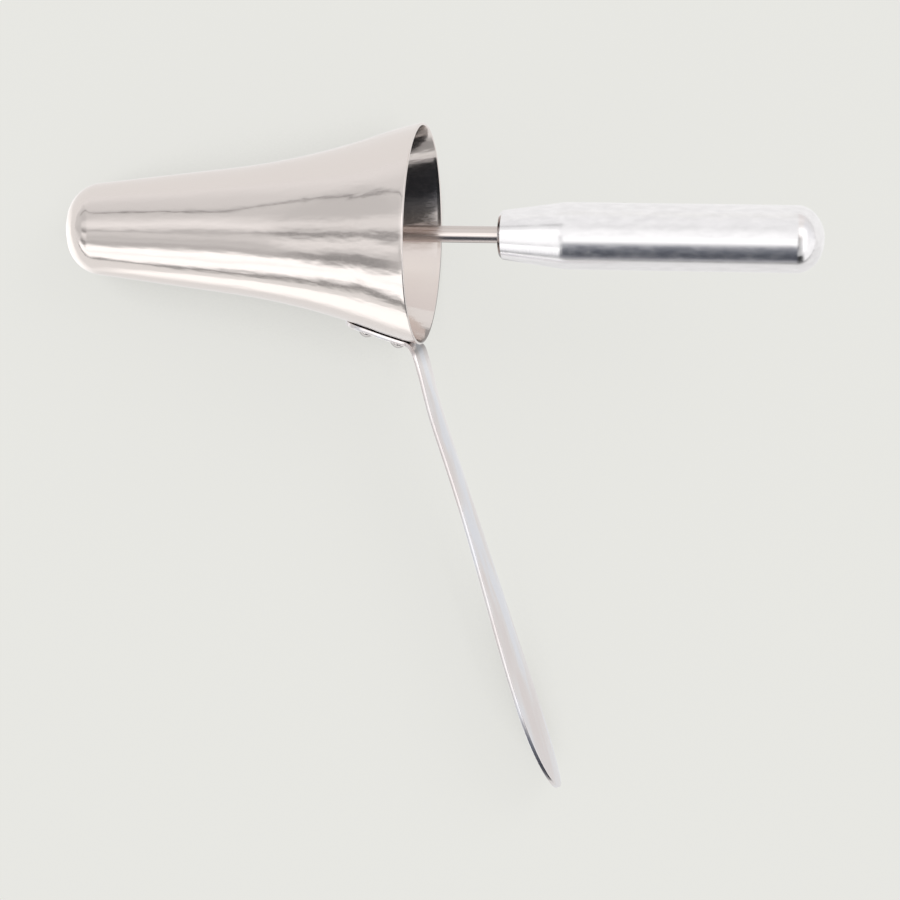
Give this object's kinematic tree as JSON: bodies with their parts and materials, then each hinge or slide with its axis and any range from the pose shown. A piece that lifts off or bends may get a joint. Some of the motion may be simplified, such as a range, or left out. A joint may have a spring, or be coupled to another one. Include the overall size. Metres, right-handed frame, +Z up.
{
  "type": "anal speculum",
  "caption": "Polished metal funnel speculum with a riveted strap handle and a sliding obturator with a turned grip.",
  "frame": {"origin": "middle of the laid instrument's outline, on the surface that it rests on", "axes": "+X towards the obturator's grip along the table, -Y towards the strap handle, +Z up; the funnel's own axis leans up towards +X by 11 degrees"},
  "size_m": [0.2145, 0.1902, 0.062],
  "materials": {
    "polished_steel": "polished",
    "strap_steel": "polished, lightly worn",
    "rivet_steel": "satin",
    "plug_aluminium": "polished",
    "rod_steel": "polished",
    "grip_aluminium": "turned and polished"
  },
  "bodies": {
    "speculum": {"speculum_cone": "polished_steel", "strap_handle": "strap_steel", "rivet_distal": "rivet_steel", "rivet_proximal": "rivet_steel"},
    "obturator": {"obturator_plug": "plug_aluminium", "obturator_rod": "rod_steel", "obturator_grip": "grip_aluminium"}
  },
  "joints": [
    {"name": "obturator_slide", "type": "slide", "parent": "speculum", "child": "obturator", "axis": [0.9816, 0, 0.1907], "range_m": [0, 0.12]}
  ]
}
